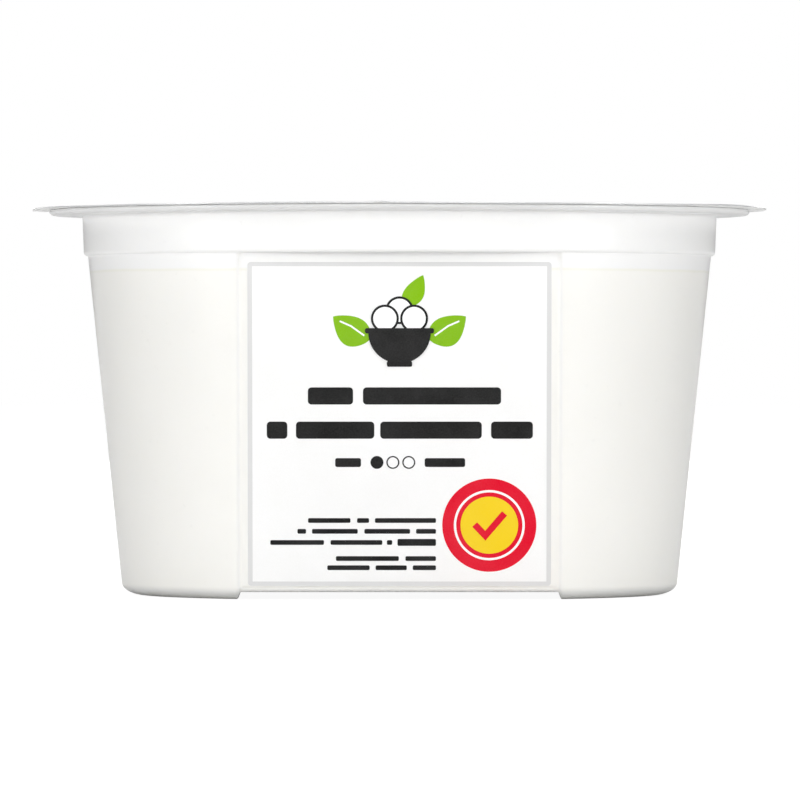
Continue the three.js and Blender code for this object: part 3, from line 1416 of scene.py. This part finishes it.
@dataclass
class FrontLabel(Label):
    """The front label: a bowl of little cheeses between leaves, a heading, a scale, rows and a round seal."""

    rind_radius: float = 2.1
    cheese_radius: float = 1.76
    bar_height: float = 2.6
    bar_rounding: float = 0.55
    dot_height: float = -5.65
    dot_radius: float = 0.98
    dot_hole: float = 0.78
    seal_centre: tuple[float, float] = (13.55, -15.2)
    seal_radius: float = 7.1
    seal_line: tuple[float, float] = (5.35, 5.0)
    seal_middle: float = 4.35

    def print_motif(self) -> None:
        """Prints the bowl, the three little cheeses and the leaves."""
        for level, root, bearing, length, width, bend in (
            (0, (-4.4, 13.0), 148, 6.6, 4.6, 0.4),
            (0, (4.4, 13.0), 32, 6.6, 4.6, -0.4),
            (1, (0.6, 18.0), 58, 5.6, 3.0, -0.3),
        ):
            leaf = PrintLayer()
            leaf.leaf(root, bearing, length, width, bend)
            self.lay(leaf, f"leaf_{bearing}", Ink.GREEN, level)
        ribs = PrintLayer()
        for side in (-1, 1):
            ribs.stroke([(5.3 * side, 13.6), (7.3 * side, 15.05), (9.0 * side, 15.8)], 0.26)
        self.lay(ribs, "ribs", Ink.WHITE, 1)
        for level, name, height, places in (
            (2, "rear", 17.45, (0.0,)),
            (4, "front", 16.2, (-2.2, 2.2)),
        ):
            rinds, cheeses = PrintLayer(), PrintLayer()
            for place in places:
                rinds.disc(place, height, self.rind_radius)
                cheeses.disc(place, height, self.cheese_radius)
            self.lay(rinds, f"rinds_{name}", Ink.BLACK, level)
            self.lay(cheeses, f"cheeses_{name}", Ink.WHITE, level + 1)
        bowl = PrintLayer()
        bowl.cut_above(bowl.disc(0.0, 14.1, 4.7, 64), 14.0)
        self.lay(bowl, "bowl", Ink.BLACK, 6)
        rim = PrintLayer()
        rim.row((-5.2, 5.2), 13.95, 0.8, 0.3)
        rim.row((-1.9, 1.9), 8.9, 0.85, 0.25)
        self.lay(rim, "bowl_rim", Ink.BLACK, 7)

    def print_name(self) -> None:
        """Prints the heading, two rows of thick bars."""
        rows = PrintLayer()
        for base, ends in (
            (3.15, (-13.8, -7.0, -5.5, 15.3)),
            (-2.05, (-20.0, -16.9, -15.6, -3.8, -2.9, 12.4, 13.8, 20.1)),
        ):
            rows.row(ends, base, self.bar_height, self.bar_rounding)
        self.lay(rows, "name", Ink.BLACK)

    def print_strength(self) -> None:
        """Prints the scale of strength: one full dot and two open ones between two short bars."""
        scale = PrintLayer()
        scale.row((-9.7, -5.8, 3.8, 9.9), -6.35, 1.35, 0.3)
        scale.disc(-3.4, self.dot_height, self.dot_radius)
        for place in (-1.0, 1.4):
            scale.ring(place, self.dot_height, self.dot_radius, self.dot_hole)
        self.lay(scale, "strength", Ink.BLACK)

    def print_small_rows(self) -> None:
        """Prints the five small rows of thin bars."""
        small = PrintLayer()
        for base, ends in (
            (-14.85, (-13.8, -7.4, -6.4, -4.6, -3.7, 5.5)),
            (-16.5, (-15.4, -14.1, -13.2, -6.3, -5.3, 1.6, 2.5, 5.5)),
            (-18.2, (-19.5, -11.4, -10.4, -2.6, -1.9, -1.1)),
            (-20.65, (-9.6, -0.1, 0.9, 5.5)),
            (-22.05, (-10.9, -4.5, -3.6, 1.1, 2.0, 5.5)),
        ):
            small.row(ends, base, self.small_height)
        small.row((-0.3, 5.5), -18.35, 1.05)
        self.lay(small, "small_rows", Ink.BLACK)

    def print_seal(self) -> None:
        """Prints the round seal: a plain red disc, a white line, a yellow middle and a red tick on it."""
        u, v = self.seal_centre
        edge, line, field, mark = (PrintLayer() for _ in range(4))
        edge.disc(u, v, self.seal_radius, 120)
        line.ring(u, v, *self.seal_line, 96)
        field.disc(u, v, self.seal_middle, 96)
        mark.stroke([(u - 2.2, v + 0.1), (u - 0.6, v - 1.6), (u + 2.3, v + 1.8)], 1.0)
        self.lay(edge, "seal_edge", Ink.RED, 0)
        self.lay(line, "seal_line", Ink.WHITE, 1)
        self.lay(field, "seal_field", Ink.YELLOW, 1)
        self.lay(mark, "seal_mark", Ink.RED, 2)

    def print_all(self) -> None:
        """Prints the motif, the rows and the seal."""
        self.print_motif()
        self.print_name()
        self.print_strength()
        self.print_small_rows()
        self.print_seal()


@dataclass
class BackLabel(Label):
    """The back label: a sprig, a heading, rows of small print and a plain ruled table."""

    edge: float = 19.0
    small_step: float = 1.75
    table_top: float = -1.6
    table_step: float = 2.5
    table_rows: int = 6
    rule_height: float = 0.16

    def print_sprig(self) -> None:
        """Prints a sprig of three leaves at the top."""
        leaves = PrintLayer()
        leaves.leaf((-0.3, 15.6), 150, 6.2, 3.3, 0.4)
        leaves.leaf((0.3, 15.6), 30, 6.2, 3.3, -0.4)
        leaves.leaf((0.0, 16.0), 90, 6.4, 3.0, 0.0)
        self.lay(leaves, "sprig", Ink.GREEN)

    def print_rows(self) -> None:
        """Prints the heading, the rows and the table."""
        rows = PrintLayer()
        rows.row((-14.0, -3.0, -1.9, 14.0), 10.6, 2.0, 0.45)
        for row, (middle, right) in enumerate(((-6.2, 18.6), (4.4, 17.2), (-9.8, 18.9), (1.7, 12.4))):
            ends = (-self.edge, middle - 0.4, middle + 0.4, right)
            rows.row(ends, 7.4 - self.small_step * row, self.small_height)
        for row in range(self.table_rows + 1):
            rows.row((-self.edge, self.edge), self.table_top - self.table_step * row, self.rule_height, 0.05)
        for row in range(self.table_rows):
            ends = (-18.2, -9.5 + 1.9 * (row * 5 % 4), 11.8 + 0.9 * (row * 3 % 4), 18.2)
            rows.row(ends, self.table_top - 1.75 - self.table_step * row, 0.85)
        rows.row((-self.edge, 3.0), -19.6, 0.7)
        rows.row((-self.edge, -1.4), -21.2, 0.7)
        self.lay(rows, "rows", Ink.BLACK)

    def print_all(self) -> None:
        """Prints the sprig and the rows."""
        self.print_sprig()
        self.print_rows()


@dataclass(frozen=True)
class Lamp:
    """A soft rectangular lamp that points at the tub. Angles are in degrees, sizes in metres."""

    name: str
    bearing: float
    rise: float
    distance: float
    width: float
    height: float
    power: float


@dataclass
class Studio:
    """The pale floor, the soft lamps and the camera, all in metres."""

    camera_distance: float = 1.364
    camera_height: float = 0.0326
    aim_height: float = 0.0301
    aside: float = 0.0000775
    lens: float = 396.0
    sensor: float = 36.0
    nearest: float = 0.05
    farthest: float = 20.0
    target: float = 0.03
    floor_half: float = 12.0
    floor_drop: float = 0.00004
    floor_around: Rgb = (235, 235, 235)
    floor_seen: Rgb = (120, 120, 120)
    floor_glow_near: float = 0.94
    floor_glow_far: float = 1.0
    glow_range: tuple[float, float] = (0.1, 0.8)
    surround: float = 0.015
    lamps: tuple[Lamp, ...] = (
        Lamp("front_lamp", 0, 22, 2.2, 1.8, 1.2, 13.5),
        Lamp("low_lamp", 0, 3.5, 2.4, 3.0, 0.2, 18.4),
        Lamp("left_lamp", -68, 5, 1.3, 0.35, 0.22, 4.3),
        Lamp("right_lamp", 68, 5, 1.3, 0.35, 0.22, 4.3),
        Lamp("top_lamp", 0, 88, 1.8, 1.6, 1.6, 21.0),
        Lamp("back_lamp", 180, 12, 2.4, 2.4, 0.7, 34.0),
    )

    def add(self, name: str, data: bpy.types.ID) -> bpy.types.Object:
        """Puts a camera, a lamp or a mesh into the scene.

        Args:
            name: The object's name.
            data: What the object holds.

        Returns:
            The object.
        """
        made = bpy.data.objects.new(name, data)
        bpy.context.scene.collection.objects.link(made)
        return made

    def place_camera(self) -> None:
        """Makes the camera of the main picture."""
        data = bpy.data.cameras.new("camera")
        data.lens = self.lens
        data.sensor_width = self.sensor
        data.clip_start = self.nearest
        data.clip_end = self.farthest
        camera = self.add("camera", data)
        camera.location = (self.aside, -self.camera_distance, self.camera_height)
        aim = Vector((self.aside, 0, self.aim_height)) - camera.location
        camera.rotation_euler = aim.to_track_quat("-Z", "Y").to_euler()
        bpy.context.scene.camera = camera

    def hang_lamp(self, lamp: Lamp) -> None:
        """Hangs one lamp.

        Args:
            lamp: The lamp.
        """
        data = bpy.data.lights.new(lamp.name, "AREA")
        data.shape = "RECTANGLE"
        data.size = lamp.width
        data.size_y = lamp.height
        data.energy = lamp.power
        light = self.add(lamp.name, data)
        bearing, rise = math.radians(lamp.bearing), math.radians(lamp.rise)
        level = math.cos(rise)
        way = Vector((math.sin(bearing) * level, -math.cos(bearing) * level, math.sin(rise)))
        light.location = way * lamp.distance + Vector((0, 0, self.target))
        light.rotation_euler = (-way).to_track_quat("-Z", "Y").to_euler()

    def paint_floor(self, material: bpy.types.Material) -> None:
        """Wires the floor, which stays nearly white under the tub's soft shadow.

        Args:
            material: The floor's material.
        """
        material.use_nodes = True
        wiring = Wiring(material.node_tree)
        lighting = wiring.feed(wiring.add("BsdfDiffuse"), Color=linear(*self.floor_around))
        pale = wiring.feed(wiring.add("BsdfDiffuse"), Color=linear(*self.floor_seen))
        away = wiring.vector("LENGTH", wiring.add("TexCoord").outputs["Object"])["Value"]
        strength = wiring.spread(away, *self.glow_range, self.floor_glow_near, self.floor_glow_far)
        glow = wiring.feed(wiring.add("Emission"), Color=WHITE_LIGHT, Strength=strength)
        lit = wiring.feed(wiring.add("AddShader"), pale.outputs[0], glow.outputs[0])
        seen = wiring.add("LightPath").outputs["Is Camera Ray"]
        mixed = wiring.feed(wiring.add("MixShader"), seen, lighting.outputs[0], lit.outputs[0])
        wiring.feed(wiring.add("OutputMaterial"), Surface=mixed.outputs[0])

    def lay_floor(self) -> None:
        """Lays the pale floor, a little below the foot."""
        mesh = bmesh.new()
        bmesh.ops.create_grid(mesh, x_segments=2, y_segments=2, size=self.floor_half)
        bmesh.ops.translate(mesh, verts=mesh.verts, vec=(0, 0, -self.floor_drop))
        data = bpy.data.meshes.new("floor")
        mesh.to_mesh(data)
        mesh.free()
        self.add("floor", data)
        pale = bpy.data.materials.new("pale_floor")
        self.paint_floor(pale)
        data.materials.append(pale)

    def light_surround(self) -> None:
        """Makes the pale surround: white where it is seen, softer where it lights the tub."""
        world = bpy.data.worlds.new("surround")
        world.use_nodes = True
        wiring = Wiring(world.node_tree)
        soft = wiring.feed(wiring.add("Background"), Color=WHITE_LIGHT, Strength=self.surround)
        white = wiring.feed(wiring.add("Background"), Color=WHITE_LIGHT, Strength=1.0)
        seen = wiring.add("LightPath").outputs["Is Camera Ray"]
        mixed = wiring.feed(wiring.add("MixShader"), seen, soft.outputs[0], white.outputs[0])
        wiring.feed(wiring.add("OutputWorld"), Surface=mixed.outputs[0])
        bpy.context.scene.world = world

    def build(self) -> None:
        """Makes the floor, the surround, the lamps and the camera."""
        self.place_camera()
        self.lay_floor()
        self.light_surround()
        for lamp in self.lamps:
            self.hang_lamp(lamp)
        bpy.context.scene.view_settings.view_transform = "Standard"


def main() -> None:
    """Builds the studio and the tub."""
    logging.basicConfig(level=logging.INFO, format="%(name)s %(message)s")
    Studio().build()
    plastic = MilkyPlastic("milky_plastic", bump=0.12, bump_depth=0.0002)
    film = PeelFilm("peel_film", bump=0.6, bump_depth=0.0014)
    label_film = LabelFilm("label_film", bump=0.05, bump_depth=0.00003)
    tub = TubShell()
    tub.build(plastic)
    FilmLid().build(film)
    FrontLabel(tub, Side.FRONT, "front_label").build(label_film)
    BackLabel(tub, Side.BACK, "back_label").build(label_film)


if __name__ == "__main__":
    main()
